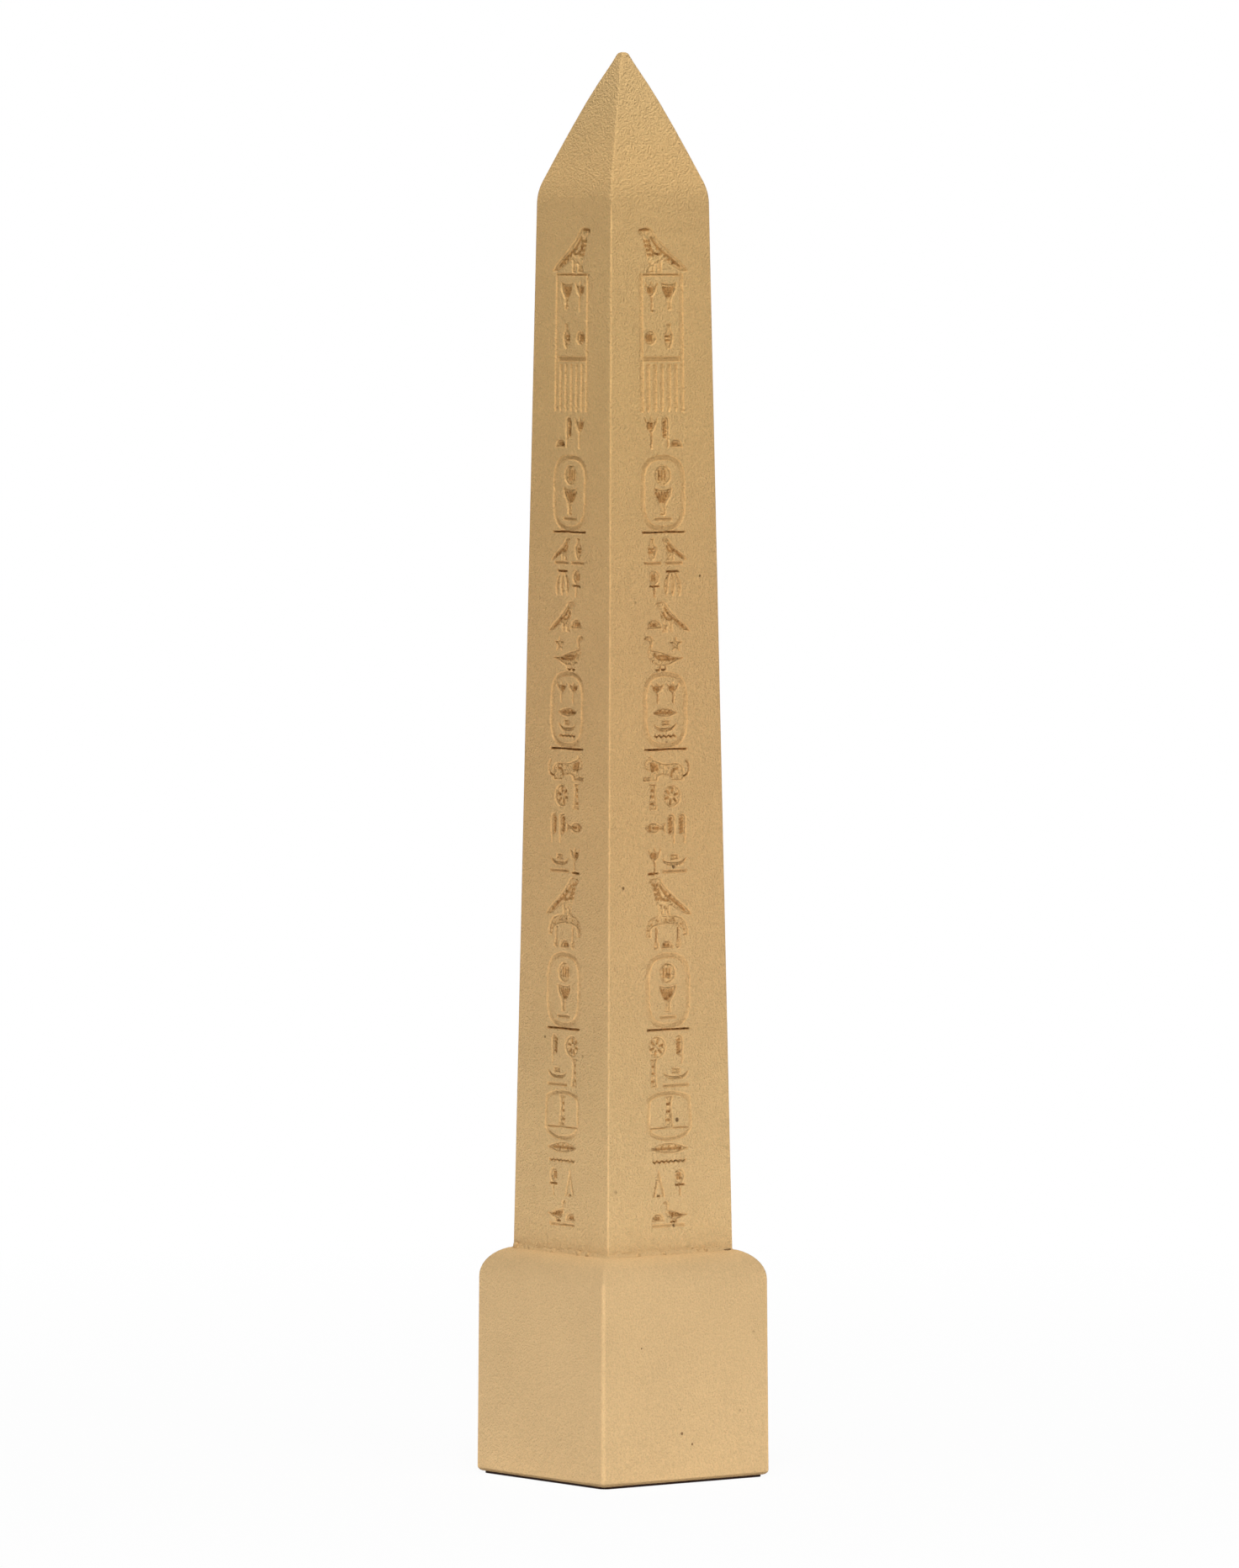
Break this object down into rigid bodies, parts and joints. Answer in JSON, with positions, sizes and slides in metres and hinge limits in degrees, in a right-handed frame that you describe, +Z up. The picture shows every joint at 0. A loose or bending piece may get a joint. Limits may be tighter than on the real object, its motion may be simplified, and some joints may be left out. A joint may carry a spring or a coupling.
{
  "type": "model obelisk",
  "caption": "Small cast model of an obelisk: a tapering square shaft with a pointed top and sunk carved frames, on a block plinth with rolled shoulders and a felt pad.",
  "frame": {"origin": "centre of the felt pad's underside, where the model stands", "axes": "+Z up along the shaft, -Y out of the front face, +X to the right"},
  "size_m": [0.0442, 0.0442, 0.3],
  "materials": {
    "cast_plaster": "matt, fine sandy grain",
    "filler": "matt, smeared by hand",
    "felt": "dark brown felt"
  },
  "bodies": {
    "root": {"shaft": "cast_plaster", "plinth": "cast_plaster", "joint_bead": "filler", "base_pad": "felt"}
  },
  "joints": []
}
